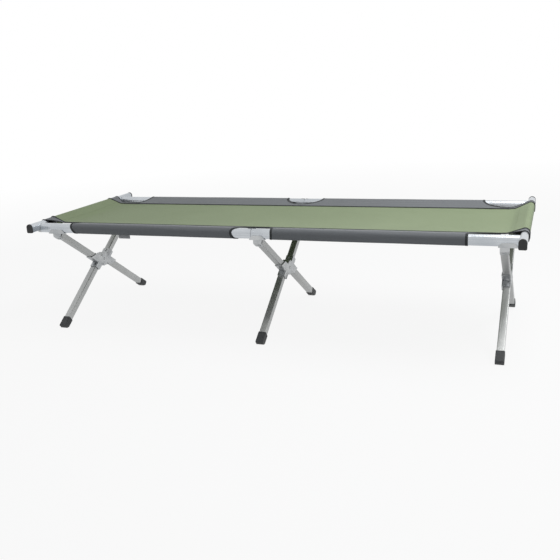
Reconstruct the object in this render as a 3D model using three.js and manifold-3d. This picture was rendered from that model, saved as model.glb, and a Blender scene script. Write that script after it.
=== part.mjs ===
import * as THREE from 'three'
import { mergeVertices } from 'three/addons/utils/BufferGeometryUtils.js'
import Module from 'manifold-3d'

// Folding cot, opened out. Millimetres, X along the cot, Y across it (far side +), Z up, feet at Z 0.

const wasm = await Module()
wasm.setup()

// Side rails
const railLength = 1850
const railSpacing = 608
const railTop = 444
const railWidth = 32
const railHeight = 36
const railWall = 2
const railCorner = 4.5
const railGrooveDepth = 0.6
const railGrooveHeight = 1.2
const splitGap = 1

// Fold in the middle of each rail
const foldPinDepth = 7
const foldPinSetback = 9.5
const foldPinRadius = 2.2
const foldPinBite = 0.8
const foldEndRadius = 9.7
const linkRadius = 5.4
const linkThickness = 7
const linkSlack = 0.4

// Fits shared by all pieces
const seatGap = 0.3
const pinSlack = 0.3
const armSlack = 0.4
const cutOver = 5

// Crossed legs: three sets under the rails
const endSetInset = 47
const middleSetX = 10
const hubHeightShare = 0.4865
const armOffset = 12
const armWidth = 26
const armDepth = 25
const armWall = 2
const armCorner = 3
const hubPinReach = 52
const railPinDrop = 24
const railPinInset = 43.15
const pinRadius = 4
const pinHeadRadius = 6.5
const pinHeadHeight = 2
const legEndHeight = 4

// Foot caps
const footWall = 2
const footBase = 3
const footLength = 45
const footCorner = 4
const footNose = 6

// Hub castings
const lipThickness = 3
const hubPlate = 4
const nearUpperLip = 92
const farUpperLip = 66
const nearLowerLip = 66
const farLowerLip = 86
const innerLip = 62
const kneeSeam = 3.6
const kneeSeamDepth = 7
const kneeSeamDrop = 8
const slotEndSlack = 0.6
const bossRadius = 5
const bossHeight = 1.5
const hubEdge = 2.5

// Rail brackets
const saddleThickness = 3
const saddleFlange = 13
const flangeThickness = 2.4
const leftSaddleBack = 8
const leftSaddleFront = 68
const middleSaddleBack = 16
const middleSaddleFront = 44
const rightSaddleBack = 47
const rightSaddleFront = 16
const saddleTaper = 12
const channelPastPin = 10
const channelOuter = 25
const channelCorner = 5
const stopWall = 3.6

// End bars with their saddle plugs and caps
const barSetback = 15
const barDrop = 11
const barWidth = 25
const barHeight = 34
const barCorner = 4
const barWall = 1.5
const barOverhang = 60
const barSlide = 9
const capHead = 6
const capRim = 1
const capNose = 2
const capSpigot = 18
const capWall = 2
const plugLength = 40
const plugLip = 1.5

// Cloth
const sleeveThickness = 1.5
const middleBareGap = 20
const leftBareGap = 22
const rightBareGap = 64
const middleNotchDepth = 62
const endNotchDepth = 72
const seamInset = 89
const seamDrop = 17
const seamBore = 0.8
const panelThickness = 2
const panelSag = 12
const panelRiseLength = 135
const hemInset = 29
const hemThickness = 1.5

// Where the bed cloth meets the end bar, and steps of round outlines
const hemMeetAngle = THREE.MathUtils.degToRad(45)
const crownSteps = 14
const armEndSteps = 8
const cornerSteps = 3
const tubeSteps = 2
const boreSteps = 1
const pinSteps = 10
const notchSteps = 12
const panelCellsAlong = 14
const panelCellsAcross = 8

// Colours seen in the photograph
const brightMetal = { color: 0xc6c9cb, roughness: 0.35, metalness: 0.9 }
const castMetal = { color: 0xb4b7b8, roughness: 0.5, metalness: 0.8 }
const legMetal = { color: 0xa9acae, roughness: 0.42, metalness: 0.85 }
const pinMetal = { color: 0x8d9092, roughness: 0.4, metalness: 0.9 }
const capPlastic = { color: 0x17181a, roughness: 0.55, metalness: 0 }
const footPlastic = { color: 0x3a3c3d, roughness: 0.6, metalness: 0 }
const bedCloth = { color: 0x8d9c7a, roughness: 0.9, metalness: 0 }
const sleeveCloth = { color: 0x5c5f5e, roughness: 0.92, metalness: 0 }

const alongX = new THREE.Vector3(1, 0, 0)
const alongY = new THREE.Vector3(0, 1, 0)
const alongZ = new THREE.Vector3(0, 0, 1)

function toSolid(geometry) {
  const bare = geometry.clone()
  bare.deleteAttribute('normal')
  bare.deleteAttribute('uv')
  const merged = mergeVertices(bare)
  const vertProperties = merged.attributes.position.array
  const triVerts = Uint32Array.from(merged.index.array)
  return new wasm.Manifold(new wasm.Mesh({ numProp: 3, vertProperties, triVerts }))
}

function toGeometry(solid) {
  const mesh = solid.getMesh()
  const geometry = new THREE.BufferGeometry()
  geometry.setAttribute('position', new THREE.BufferAttribute(Float32Array.from(mesh.vertProperties), 3))
  geometry.setIndex(new THREE.BufferAttribute(Uint32Array.from(mesh.triVerts), 1))
  return geometry
}

// A copy of a shape, mirrored in X or Y where asked, then moved
function placed(geometry, shift, flipX = false, flipY = false) {
  const copy = geometry.clone()
  copy.scale(flipX ? -1 : 1, flipY ? -1 : 1, 1)
  if (flipX !== flipY) {
    const order = copy.index.array
    for (let i = 0; i < order.length; i += 3) {
      const second = order[i + 1]
      order[i + 1] = order[i + 2]
      order[i + 2] = second
    }
  }
  copy.translate(shift.x, shift.y, shift.z)
  return copy
}

function arc(x, y, radius, from, to, steps) {
  const points = []
  for (let i = 0; i <= steps; i += 1) {
    const angle = from + (to - from) * i / steps
    points.push(new THREE.Vector2(x + radius * Math.cos(angle), y + radius * Math.sin(angle)))
  }
  return points
}

function ring(x, y, radius, steps) {
  return arc(x, y, radius, 0, 2 * Math.PI, steps).slice(0, steps)
}

function box2(low, high) {
  return [
    new THREE.Vector2(low.x, low.y),
    new THREE.Vector2(high.x, low.y),
    new THREE.Vector2(high.x, high.y),
    new THREE.Vector2(low.x, high.y),
  ]
}

function roundedBox(width, height, corner, steps = cornerSteps) {
  const x = width / 2 - corner
  const y = height / 2 - corner
  const quarter = Math.PI / 2
  return [
    ...arc(x, y, corner, 0, quarter, steps),
    ...arc(-x, y, corner, quarter, 2 * quarter, steps),
    ...arc(-x, -y, corner, 2 * quarter, 3 * quarter, steps),
    ...arc(x, -y, corner, 3 * quarter, 4 * quarter, steps),
  ]
}

// A flat outline drawn on two axes and pushed along the third, from low to high
function prism(outline, across, up, low, high, origin = new THREE.Vector3(), holes = []) {
  const shape = new THREE.Shape(outline)
  for (const hole of holes) shape.holes.push(new THREE.Path(hole))
  const geometry = new THREE.ExtrudeGeometry(shape, { depth: high - low, bevelEnabled: false })
  const push = new THREE.Vector3().crossVectors(across, up)
  const basis = new THREE.Matrix4().makeBasis(across, up, push)
  basis.setPosition(push.clone().multiplyScalar(low).add(origin))
  geometry.applyMatrix4(basis)
  return toSolid(geometry)
}

function block(lowX, highX, lowY, highY, lowZ, highZ) {
  const low = new THREE.Vector2(lowY, lowZ)
  const high = new THREE.Vector2(highY, highZ)
  return prism(box2(low, high), alongY, alongZ, lowX, highX)
}

const part = new THREE.Group()
part.name = 'folding_cot'

function add(name, geometry, finish) {
  const mesh = new THREE.Mesh(geometry, new THREE.MeshStandardMaterial(finish))
  mesh.name = name
  part.add(mesh)
}

const nowhere = new THREE.Vector3()
const nearShift = new THREE.Vector3(0, -railSpacing / 2, 0)
const farShift = new THREE.Vector3(0, railSpacing / 2, 0)
const railBottom = railTop - railHeight
const crownCentre = railTop - railWidth / 2
const railEnd = railLength / 2
const barX = railEnd + barSetback
const barZ = railTop - barDrop
const barReach = railSpacing / 2 + railWidth / 2 + barOverhang
const endSetX = railEnd - endSetInset

// Rail section: round top, small round corners below, a fine groove where the round part ends
function railOutline(inset, grooved = false) {
  const half = railWidth / 2 - inset
  const low = railBottom + inset
  const corner = railCorner - inset
  const points = arc(0, crownCentre, half, 0, Math.PI, crownSteps)
  if (grooved) {
    points.push(new THREE.Vector2(-half + railGrooveDepth, crownCentre - railGrooveHeight))
    points.push(new THREE.Vector2(-half, crownCentre - 2 * railGrooveHeight))
  }
  points.push(...arc(-half + corner, low + corner, corner, Math.PI, 1.5 * Math.PI, cornerSteps))
  points.push(...arc(half - corner, low + corner, corner, 1.5 * Math.PI, 2 * Math.PI, cornerSteps))
  if (grooved) {
    points.push(new THREE.Vector2(half, crownCentre - 2 * railGrooveHeight))
    points.push(new THREE.Vector2(half - railGrooveDepth, crownCentre - railGrooveHeight))
  }
  return points
}

// Left rail half, with its fold pin fixed in it
const foldPinZ = railTop - foldPinDepth
const splitX = -splitGap / 2
const foldPinX = splitX - foldPinSetback
const foldPinHeight = railHeight - foldPinDepth
// how far the lower corner of a rail's split end dips as it swings up
const foldSwing = Math.hypot(foldPinSetback, foldPinHeight) - foldPinHeight

function railHalf() {
  const farEnd = -railEnd
  let solid = prism(railOutline(0, true), alongY, alongZ, farEnd, splitX)
  solid = solid.subtract(prism(railOutline(railWall), alongY, alongZ, farEnd - cutOver, splitX + cutOver))
  const pinCentre = new THREE.Vector3(foldPinX, 0, foldPinZ)
  const side = railWidth / 2
  const above = foldPinDepth + cutOver
  const ahead = foldPinSetback + cutOver
  // the corner beyond the arc round the pin, drawn with X to the left so that Y is the push axis
  const corner = [
    ...arc(0, 0, foldEndRadius, 0, Math.PI / 2, 2 * cornerSteps),
    new THREE.Vector2(0, above),
    new THREE.Vector2(ahead, above),
    new THREE.Vector2(ahead, 0),
  ]
  const backwards = alongX.clone().negate()
  const mirrored = corner.map((p) => new THREE.Vector2(-p.x, p.y)).reverse()
  solid = solid.subtract(prism(mirrored, backwards, alongZ, -side - cutOver, side + cutOver, pinCentre))
  const slotBack = foldPinX - linkRadius - linkSlack
  const slotSide = linkThickness / 2 + linkSlack
  solid = solid.subtract(block(slotBack, splitX + cutOver, -slotSide, slotSide, foldPinZ, railTop + cutOver))
  const rise = foldPinZ - crownCentre
  const pinReach = Math.sqrt((railWidth / 2) ** 2 - rise ** 2) - foldPinBite
  const pin = ring(0, 0, foldPinRadius, pinSteps)
  return solid.add(prism(pin, backwards, alongZ, -pinReach, pinReach, pinCentre))
}

// Inner link of the fold: a flat bar round both pins
function foldLink() {
  const reach = -foldPinX
  const outline = [
    ...arc(reach, 0, linkRadius, -Math.PI / 2, Math.PI / 2, 2 * cornerSteps),
    ...arc(-reach, 0, linkRadius, Math.PI / 2, 1.5 * Math.PI, 2 * cornerSteps),
  ]
  const holes = [-1, 1].map((side) => ring(side * reach, 0, foldPinRadius + pinSlack, pinSteps))
  const backwards = alongX.clone().negate()
  const half = linkThickness / 2
  return prism(outline, backwards, alongZ, -half, half, new THREE.Vector3(0, 0, foldPinZ), holes)
}

const railShape = toGeometry(railHalf())
const linkShape = toGeometry(foldLink())
for (const [side, shift] of [['near', nearShift], ['far', farShift]]) {
  add(`${side}_left_rail`, placed(railShape, shift), brightMetal)
  add(`${side}_right_rail`, placed(railShape, shift, true), brightMetal)
  add(`${side}_rail_link`, placed(linkShape, shift), pinMetal)
}

// Cloth sleeves over the rails: drop-shaped round the rail and the seam beside the bed cloth
const seamZ = railTop - seamDrop
const sleeveStart = middleSetX + middleSaddleFront + middleBareGap
const leftSleeveEnd = endSetX - leftSaddleFront - leftBareGap
const rightSleeveEnd = endSetX - rightSaddleBack - rightBareGap
const panelRiseStart = railEnd - panelRiseLength

// Angle, seen from the first circle's centre, of the line that touches both circles on one side
function touchAngle(from, fromRadius, to, toRadius, side) {
  const gap = to.clone().sub(from)
  return Math.atan2(gap.y, gap.x) + side * Math.acos((fromRadius - toRadius) / gap.length())
}

function sleeveOutline(inset) {
  const half = railWidth / 2 - inset
  const corner = railCorner - inset
  const low = railBottom + railCorner
  const crown = new THREE.Vector2(0, crownCentre)
  const foot = new THREE.Vector2(railWidth / 2 - railCorner, low)
  const seam = new THREE.Vector2(seamInset, seamZ)
  const edge = seamBore - seatGap - inset
  const topAngle = touchAngle(crown, half, seam, edge, 1)
  const lowAngle = touchAngle(foot, corner, seam, edge, -1)
  return [
    ...arc(crown.x, crown.y, half, topAngle, Math.PI, crownSteps),
    ...arc(-foot.x, low, corner, Math.PI, 1.5 * Math.PI, cornerSteps),
    ...arc(foot.x, low, corner, 1.5 * Math.PI, lowAngle + 2 * Math.PI, cornerSteps),
    ...arc(seam.x, seam.y, edge, lowAngle, topAngle, cornerSteps),
  ]
}

// Scoop that bares the rail, seen from above: straight across the rail, round towards the bed
function notch(centreX, halfLength, depth) {
  const outside = railWidth + cutOver
  const outline = [new THREE.Vector2(centreX + halfLength, -outside)]
  for (const p of arc(0, 0, 1, 0, Math.PI, notchSteps)) {
    outline.push(new THREE.Vector2(centreX + p.x * halfLength, p.y * depth))
  }
  outline.push(new THREE.Vector2(centreX - halfLength, -outside))
  return prism(outline, alongX, alongY, 0, railTop + cutOver)
}

function sleeve(end) {
  const solid = prism(sleeveOutline(-seatGap - sleeveThickness), alongY, alongZ, -panelRiseStart, splitX)
  const hole = prism(sleeveOutline(-seatGap), alongY, alongZ, -railEnd, cutOver)
  const middle = notch(0, sleeveStart, middleNotchDepth)
  const outer = notch(-railEnd, railEnd - end, endNotchDepth)
  return toGeometry(solid.subtract(hole).subtract(middle).subtract(outer))
}

for (const [half, end, flip] of [['left', leftSleeveEnd, false], ['right', rightSleeveEnd, true]]) {
  const shape = sleeve(end)
  add(`near_${half}_sleeve`, placed(shape, nearShift, flip), sleeveCloth)
  add(`far_${half}_sleeve`, placed(shape, farShift, flip, true), sleeveCloth)
}

// End bar section: round top, small round corners below, measured from its middle
const barCrown = (barHeight - barWidth) / 2
function barOutline(inset) {
  const half = barWidth / 2 - inset
  const low = inset - barHeight / 2
  const corner = barCorner - inset
  return [
    ...arc(0, barCrown, half, 0, Math.PI, crownSteps),
    ...arc(-half + corner, low + corner, corner, Math.PI, 1.5 * Math.PI, cornerSteps),
    ...arc(half - corner, low + corner, corner, 1.5 * Math.PI, 2 * Math.PI, cornerSteps),
  ]
}

// A section pushed along the left end bar, between two places across the cot
function alongBar(outline, low, high, holes = []) {
  const backwards = alongX.clone().negate()
  return prism(outline, backwards, alongZ, low, high, new THREE.Vector3(-barX, 0, barZ), holes)
}

// Plug in a rail's outer end, hollowed to carry the end bar
function endPlug() {
  const face = -railEnd
  const inner = railOutline(railWall + seatGap)
  let solid = prism(inner, alongY, alongZ, face - seatGap - plugLip, face + plugLength)
  solid = solid.add(prism(railOutline(0), alongY, alongZ, -barX + plugLip, face - seatGap))
  return solid.subtract(alongBar(barOutline(-seatGap), -railWidth, railWidth))
}
const plugShape = toGeometry(endPlug())

// Bar across each end of the cot, and the cap pushed into each of its ends
const barEnd = barReach - capHead - seatGap
const barShape = toGeometry(alongBar(barOutline(0), -barEnd, barEnd, [barOutline(barWall)]))

function barCap() {
  const head = new THREE.Shape(barOutline(capNose - capRim))
  const rounding = { bevelThickness: capNose, bevelSize: capNose, bevelSegments: cornerSteps }
  const geometry = new THREE.ExtrudeGeometry(head, { depth: capHead, ...rounding })
  const basis = new THREE.Matrix4().makeBasis(alongX.clone().negate(), alongZ, alongY)
  geometry.applyMatrix4(basis.setPosition(-barX, capNose - barReach, barZ))
  const headEnd = capHead - barReach
  const spigotEnd = headEnd + capSpigot
  const inner = barWall + seatGap
  const rest = alongBar(barOutline(-cutOver), headEnd, headEnd + capHead + cutOver)
  const spigot = alongBar(barOutline(inner), headEnd - capNose, spigotEnd)
  const hollow = alongBar(barOutline(inner + capWall), headEnd, spigotEnd + cutOver)
  return toSolid(geometry).subtract(rest).add(spigot).subtract(hollow)
}
const capShape = toGeometry(barCap())

// each bar is slid a little along its hem, the left one towards the far side
for (const [end, flip, slide] of [['left', false, barSlide], ['right', true, -barSlide]]) {
  const shift = new THREE.Vector3(0, slide, 0)
  add(`${end}_end_bar`, placed(barShape, shift, flip), brightMetal)
  add(`near_${end}_bar_cap`, placed(capShape, shift, flip), capPlastic)
  add(`far_${end}_bar_cap`, placed(capShape, shift, flip, true), capPlastic)
  add(`near_${end}_end_plug`, placed(plugShape, nearShift, flip), castMetal)
  add(`far_${end}_end_plug`, placed(plugShape, farShift, flip), castMetal)
}

// Leg geometry in the plane across the cot, for the near side: the legs lean so that the arms meet their rail pins
const hubHeight = railTop * hubHeightShare
const railPinZ = railBottom - railPinDrop
const railPinY = railPinInset - railSpacing / 2
const railPinRise = railPinZ - hubHeight
const offsetAngle = Math.asin(armOffset / Math.hypot(railPinY, railPinRise))
const legLean = Math.atan2(-railPinY, railPinRise) - offsetAngle
const sine = Math.sin(legLean)
const cosine = Math.cos(legLean)
const lengthwise = new THREE.Vector3(0, -sine, cosine)
const railPin = new THREE.Vector3(0, railPinY, railPinZ)

// One limb of the hub: where its centre line starts, its direction outwards, its side towards the crotch
function limb(sideY, sideZ) {
  return {
    start: new THREE.Vector3(0, sideY * armOffset * cosine, hubHeight - sideZ * armOffset * sine),
    out: new THREE.Vector3(0, sideY * sine, sideZ * cosine),
    inward: new THREE.Vector3(0, -sideY * cosine, sideZ * sine),
  }
}
function along(line, distance, sideways = 0) {
  return line.start.clone().addScaledVector(line.out, distance).addScaledVector(line.inward, sideways)
}
const nearUpper = limb(-1, 1)
const nearLower = limb(-1, -1)
const farUpper = limb(1, 1)
const farLower = limb(1, -1)
const upperPin = along(nearUpper, hubPinReach)
const lowerPin = along(nearLower, hubPinReach)
const upperLength = railPin.distanceTo(upperPin)
const lowerLength = (lowerPin.z - legEndHeight) / cosine

// Square tube between two pins, its ends rounded about them; the section's axes are X and side
const armEnd = armWidth / 2
const tubeOuter = roundedBox(armWidth, armDepth, armCorner, tubeSteps)
const tubeInner = roundedBox(armWidth - 2 * armWall, armDepth - 2 * armWall, armCorner - armWall, boreSteps)

function tube(from, direction, side, low, high) {
  const push = new THREE.Vector3().crossVectors(alongX, side)
  const sign = push.dot(direction)
  const reach = sign > 0 ? [low, high] : [-high, -low]
  return prism(tubeOuter, alongX, side, reach[0], reach[1], from, [tubeInner])
}

function upperArm() {
  const down = lengthwise.clone().negate()
  const side = new THREE.Vector3().crossVectors(alongX, down)
  const body = tube(railPin, down, side, -armEnd, upperLength + armEnd)
  const outline = [
    ...arc(0, upperLength, armEnd, 0, Math.PI, armEndSteps),
    ...arc(0, 0, armEnd, Math.PI, 2 * Math.PI, armEndSteps),
  ]
  const holes = [0, upperLength].map((at) => ring(0, at, pinRadius + pinSlack, pinSteps))
  return body.intersect(prism(outline, alongX, down, -armDepth, armDepth, railPin, holes))
}

function lowerLeg() {
  const side = new THREE.Vector3().crossVectors(alongX, nearLower.out)
  const body = tube(lowerPin, nearLower.out, side, -armEnd, lowerLength - footBase - seatGap)
  const outline = [
    new THREE.Vector2(armWidth, lowerLength),
    new THREE.Vector2(-armWidth, lowerLength),
    new THREE.Vector2(-armWidth, armEnd),
    new THREE.Vector2(-armEnd, 0),
    ...arc(0, 0, armEnd, Math.PI, 2 * Math.PI, armEndSteps).slice(1, -1),
    new THREE.Vector2(armEnd, 0),
    new THREE.Vector2(armWidth, armEnd),
  ]
  const hole = ring(0, 0, pinRadius + pinSlack, pinSteps)
  const kept = prism(outline, alongX, nearLower.out, -armDepth, armDepth, lowerPin, [hole])
  return body.intersect(kept).subtract(floorCut(footBase + seatGap))
}

// Everything below a height, near side
function floorCut(height) {
  const wide = armWidth + cutOver
  return block(-wide, wide, -railSpacing, 0, -railSpacing, height)
}

function footCap() {
  const side = new THREE.Vector3().crossVectors(alongX, nearLower.out)
  const inner = seatGap * 2
  const outer = inner + 2 * footWall
  const top = lowerLength - footLength
  const push = new THREE.Vector3().crossVectors(alongX, side)
  const sign = Math.sign(push.dot(nearLower.out))
  const span = (low, high) => (sign > 0 ? [low, high] : [-high, -low])
  const shell = roundedBox(armWidth + outer, armDepth + outer, footCorner)
  const bore = roundedBox(armWidth + inner, armDepth + inner, armCorner, tubeSteps)
  let solid = prism(shell, alongX, side, ...span(top, lowerLength), lowerPin)
  // rounded upper corner of the end
  const noseHalf = (armDepth + outer) / 2
  const nose = [
    new THREE.Vector2(-noseHalf - cutOver, lowerLength - footNose),
    new THREE.Vector2(-noseHalf, lowerLength - footNose),
    ...arc(-noseHalf + footNose, lowerLength - footNose, footNose, Math.PI, Math.PI / 2, cornerSteps).slice(1),
    new THREE.Vector2(-noseHalf + footNose, lowerLength + cutOver),
    new THREE.Vector2(-noseHalf - cutOver, lowerLength + cutOver),
  ].reverse()
  const width = armWidth
  solid = solid.subtract(prism(nose, nearLower.inward, nearLower.out, -width, width, lowerPin))
  const cavity = prism(bore, alongX, side, ...span(top - cutOver, lowerLength - footBase), lowerPin)
  return solid.subtract(cavity.subtract(floorCut(footBase))).subtract(floorCut(0))
}

const upperShape = toGeometry(upperArm())
const lowerShape = toGeometry(lowerLeg())
const footShape = toGeometry(footCap())

// Hub casting: a plate with four limbs, each a channel open on the side away from the plate
const slotHalf = armDepth / 2 + armSlack
const lipHalf = slotHalf + lipThickness
const slotStart = hubPinReach - armEnd - slotEndSlack
const plateInside = armEnd + armSlack
const plateOutside = plateInside + hubPlate

function planar(vector) {
  return new THREE.Vector2(vector.y, vector.z)
}

function pinWithHeads(line, distance) {
  const centre = along(line, distance)
  const across = alongX.clone()
  const up = new THREE.Vector3().crossVectors(line.inward, across)
  const head = lipHalf + pinHeadHeight
  const shaft = prism(ring(0, 0, pinRadius, pinSteps), across, up, -lipHalf, lipHalf, centre)
  const round = ring(0, 0, pinHeadRadius, pinSteps)
  const low = prism(round, across, up, -head, -slotHalf - lipThickness / 2, centre)
  const high = prism(round, across, up, slotHalf + lipThickness / 2, head, centre)
  return shaft.add(low).add(high)
}

function hub() {
  const limbs = [
    [nearUpper, nearUpperLip],
    [farUpper, farUpperLip],
    [nearLower, nearLowerLip],
    [farLower, farLowerLip],
  ]
  let body = null
  let slots = null
  let pins = null
  for (const [line, lip] of limbs) {
    const outline = [
      planar(along(line, -armOffset, -lipHalf)),
      planar(along(line, lip, -lipHalf)),
      planar(along(line, lip, -slotHalf)),
      planar(along(line, innerLip, lipHalf - hubEdge)),
      planar(along(line, innerLip - hubEdge, lipHalf)),
      planar(along(line, -armOffset, lipHalf)),
    ]
    if (THREE.ShapeUtils.isClockWise(outline)) outline.reverse()
    const arm = prism(outline, alongY, alongZ, -armEnd, plateOutside)
    body = body ? body.add(arm) : arm
    const gap = [
      planar(along(line, slotStart, -slotHalf)),
      planar(along(line, lip + cutOver, -slotHalf)),
      planar(along(line, lip + cutOver, slotHalf)),
      planar(along(line, slotStart, slotHalf)),
    ]
    if (THREE.ShapeUtils.isClockWise(gap)) gap.reverse()
    const slot = prism(gap, alongY, alongZ, -armEnd - cutOver, plateInside)
    slots = slots ? slots.add(slot) : slot
    const pin = pinWithHeads(line, hubPinReach)
    pins = pins ? pins.add(pin) : pin
  }
  const knee = (armOffset + lipHalf) / cosine
  for (const side of [-1, 1]) {
    const low = side < 0 ? -knee - cutOver : knee - kneeSeamDepth
    const high = side < 0 ? -knee + kneeSeamDepth : knee + cutOver
    const middle = hubHeight + side * kneeSeamDrop
    const half = kneeSeam / 2
    slots = slots.add(block(-armEnd - cutOver, plateInside, low, high, middle - half, middle + half))
  }
  const boss = ring(0, hubHeight, bossRadius, pinSteps)
  const rivet = prism(boss, alongY, alongZ, plateInside, plateOutside + bossHeight)
  return body.subtract(slots).add(pins).add(rivet)
}
const hubShape = toGeometry(hub())

// Rail bracket: a saddle under the rail and a channel that holds the upper arm's end
const across = new THREE.Vector3().crossVectors(alongX, lengthwise.clone().negate())
function fromRailPin(down, sideways) {
  return railPin.clone().addScaledVector(lengthwise, -down).addScaledVector(across, sideways)
}

function bracket(back, front, swingEdge) {
  const railY = -railSpacing / 2
  const top = railBottom - seatGap
  const low = top - saddleThickness
  const channelTop = top - foldSwing
  const inner = railWidth / 2 + seatGap
  const outer = inner + flangeThickness
  const flangeTop = railBottom + saddleFlange
  const saddle = [
    new THREE.Vector2(railY - outer, low),
    new THREE.Vector2(railY + outer, low),
    new THREE.Vector2(railY + outer, flangeTop),
    new THREE.Vector2(railY + inner, flangeTop),
    new THREE.Vector2(railY + inner, top),
    new THREE.Vector2(railY - inner, top),
    new THREE.Vector2(railY - inner, flangeTop),
    new THREE.Vector2(railY - outer, flangeTop),
  ]
  let solid = prism(saddle, alongY, alongZ, back, front)
  // slanted ends of the flanges
  const reach = railWidth + cutOver
  const tilt = saddleFlange
  const backCut = [
    new THREE.Vector2(back - cutOver, flangeTop - tilt),
    new THREE.Vector2(back, flangeTop - tilt),
    new THREE.Vector2(back + saddleTaper, flangeTop),
    new THREE.Vector2(back + saddleTaper, flangeTop + cutOver),
    new THREE.Vector2(back - cutOver, flangeTop + cutOver),
  ]
  const frontCut = backCut.map((p) => new THREE.Vector2(front + back - p.x, p.y)).reverse()
  for (const outline of [backCut, frontCut]) {
    const mirrored = outline.map((p) => new THREE.Vector2(-p.x, p.y)).reverse()
    const at = new THREE.Vector3(0, railY, 0)
    solid = solid.subtract(prism(mirrored, alongX.clone().negate(), alongZ, -reach, reach, at))
  }
  // the channel, cut off level with the saddle and below its inner side, with a shelf that joins the two
  const high = railSpacing
  const rim = armEnd
  const wall = rim + armSlack + stopWall
  const outline = [
    new THREE.Vector2(-wall, -high),
    ...arc(rim - channelCorner, channelPastPin - channelCorner, channelCorner, 0, Math.PI / 2, cornerSteps),
    ...arc(-wall + channelCorner, channelPastPin - channelCorner, channelCorner, Math.PI / 2, Math.PI, cornerSteps),
  ]
  outline.splice(1, 0, new THREE.Vector2(rim, -high))
  const down = lengthwise.clone().negate()
  let channel = prism(outline, alongX, down, -lipHalf, lipHalf, railPin)
  const wide = railSpacing
  const outside = railPinY - channelOuter
  channel = channel.intersect(block(-wall - cutOver, wide, outside, 0, 0, channelTop))
  const gap = [
    new THREE.Vector2(-rim - armSlack, -armEnd - slotEndSlack),
    new THREE.Vector2(wide, -armEnd - slotEndSlack),
    new THREE.Vector2(wide, high),
    new THREE.Vector2(-rim - armSlack, high),
  ]
  channel = channel.subtract(prism(gap, alongX, down, -slotHalf, slotHalf, railPin))
  const shelf = block(-wall, rim, railY, fromRailPin(0, lipHalf).y, low, low + saddleThickness)
  const up = new THREE.Vector3().crossVectors(across, alongX)
  const head = lipHalf + pinHeadHeight
  const half = lipThickness / 2
  const round = ring(0, 0, pinHeadRadius, pinSteps)
  const shaft = prism(ring(0, 0, pinRadius, pinSteps), alongX, up, -lipHalf, lipHalf, railPin)
  const lowHead = prism(round, alongX, up, -head, -slotHalf - half, railPin)
  const highHead = prism(round, alongX, up, slotHalf + half, head, railPin)
  solid = solid.add(channel).add(shelf).add(shaft).add(lowHead).add(highHead)
  if (swingEdge === undefined) return solid
  // step under the rail half that swings up over the bracket
  return solid.subtract(block(back - cutOver, swingEdge, railY - inner, railY + inner, channelTop, railBottom))
}
const sets = [
  ['left', -endSetX, false, -leftSaddleBack, leftSaddleFront],
  ['middle', middleSetX, false, -middleSaddleBack, middleSaddleFront, -splitX - middleSetX],
  ['right', endSetX, true, -rightSaddleBack, rightSaddleFront],
]
for (const [name, x, flip, back, front, swingEdge] of sets) {
  const shift = new THREE.Vector3(x, 0, 0)
  add(`${name}_hub`, placed(hubShape, shift, flip), castMetal)
  const bracketShape = toGeometry(bracket(back, front, swingEdge))
  for (const [side, mirrored] of [['near', false], ['far', true]]) {
    add(`${side}_${name}_bracket`, placed(bracketShape, shift, flip, mirrored), castMetal)
    add(`${side}_${name}_upper_arm`, placed(upperShape, shift, flip, mirrored), legMetal)
    add(`${side}_${name}_lower_leg`, placed(lowerShape, shift, flip, mirrored), legMetal)
    add(`${side}_${name}_foot`, placed(footShape, shift, flip, mirrored), footPlastic)
  }
}

// Bed cloth: a thin sheet that sags between the seams and widens as it rises to the end bar
const hemOutset = seatGap + hemThickness
const hemReach = railSpacing / 2 - hemInset
const panelHalf = railSpacing / 2 - seamInset - seamBore - sleeveThickness - seatGap
const meet = barWidth / 2 + hemOutset + seatGap + panelThickness / 2
const panelEnd = barX - meet * Math.cos(hemMeetAngle)
const panelEndHeight = barZ + barCrown + meet * Math.sin(hemMeetAngle)

function panelRise(x) {
  return THREE.MathUtils.smoothstep(Math.abs(x), panelRiseStart, panelEnd)
}

function panelHeight(x, side) {
  const rise = panelRise(x)
  const dip = panelSag * (1 - side ** 2) * (1 - rise)
  return seamZ + (panelEndHeight - seamZ) * rise - dip
}

function bedPanel() {
  const positions = []
  const order = []
  const rows = panelCellsAlong + 1
  const columns = panelCellsAcross + 1
  for (const offset of [panelThickness / 2, -panelThickness / 2]) {
    for (let i = 0; i < rows; i += 1) {
      const x = -panelEnd + (panelEnd + splitX) * i / panelCellsAlong
      for (let j = 0; j < columns; j += 1) {
        const side = 2 * j / panelCellsAcross - 1
        const y = side * (panelHalf + (hemReach - panelHalf) * panelRise(x) ** 2)
        positions.push(x, y, panelHeight(x, side) + offset)
      }
    }
  }
  const layer = rows * columns
  const quad = (a, b, c, d) => order.push(a, b, c, a, c, d)
  for (let i = 0; i < panelCellsAlong; i += 1) {
    for (let j = 0; j < panelCellsAcross; j += 1) {
      const a = i * columns + j
      const b = a + columns
      quad(a, b, b + 1, a + 1)
      quad(a + layer, a + 1 + layer, b + 1 + layer, b + layer)
    }
    const near = i * columns
    const far = near + panelCellsAcross
    quad(near + layer, near + columns + layer, near + columns, near)
    quad(far, far + columns, far + columns + layer, far + layer)
  }
  for (let j = 0; j < panelCellsAcross; j += 1) {
    const last = panelCellsAlong * columns + j
    quad(j, j + 1, j + 1 + layer, j + layer)
    quad(last + layer, last + 1 + layer, last + 1, last)
  }
  const geometry = new THREE.BufferGeometry()
  geometry.setAttribute('position', new THREE.Float32BufferAttribute(positions, 3))
  geometry.setIndex(order)
  return toGeometry(toSolid(geometry))
}
const panelShape = bedPanel()

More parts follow.
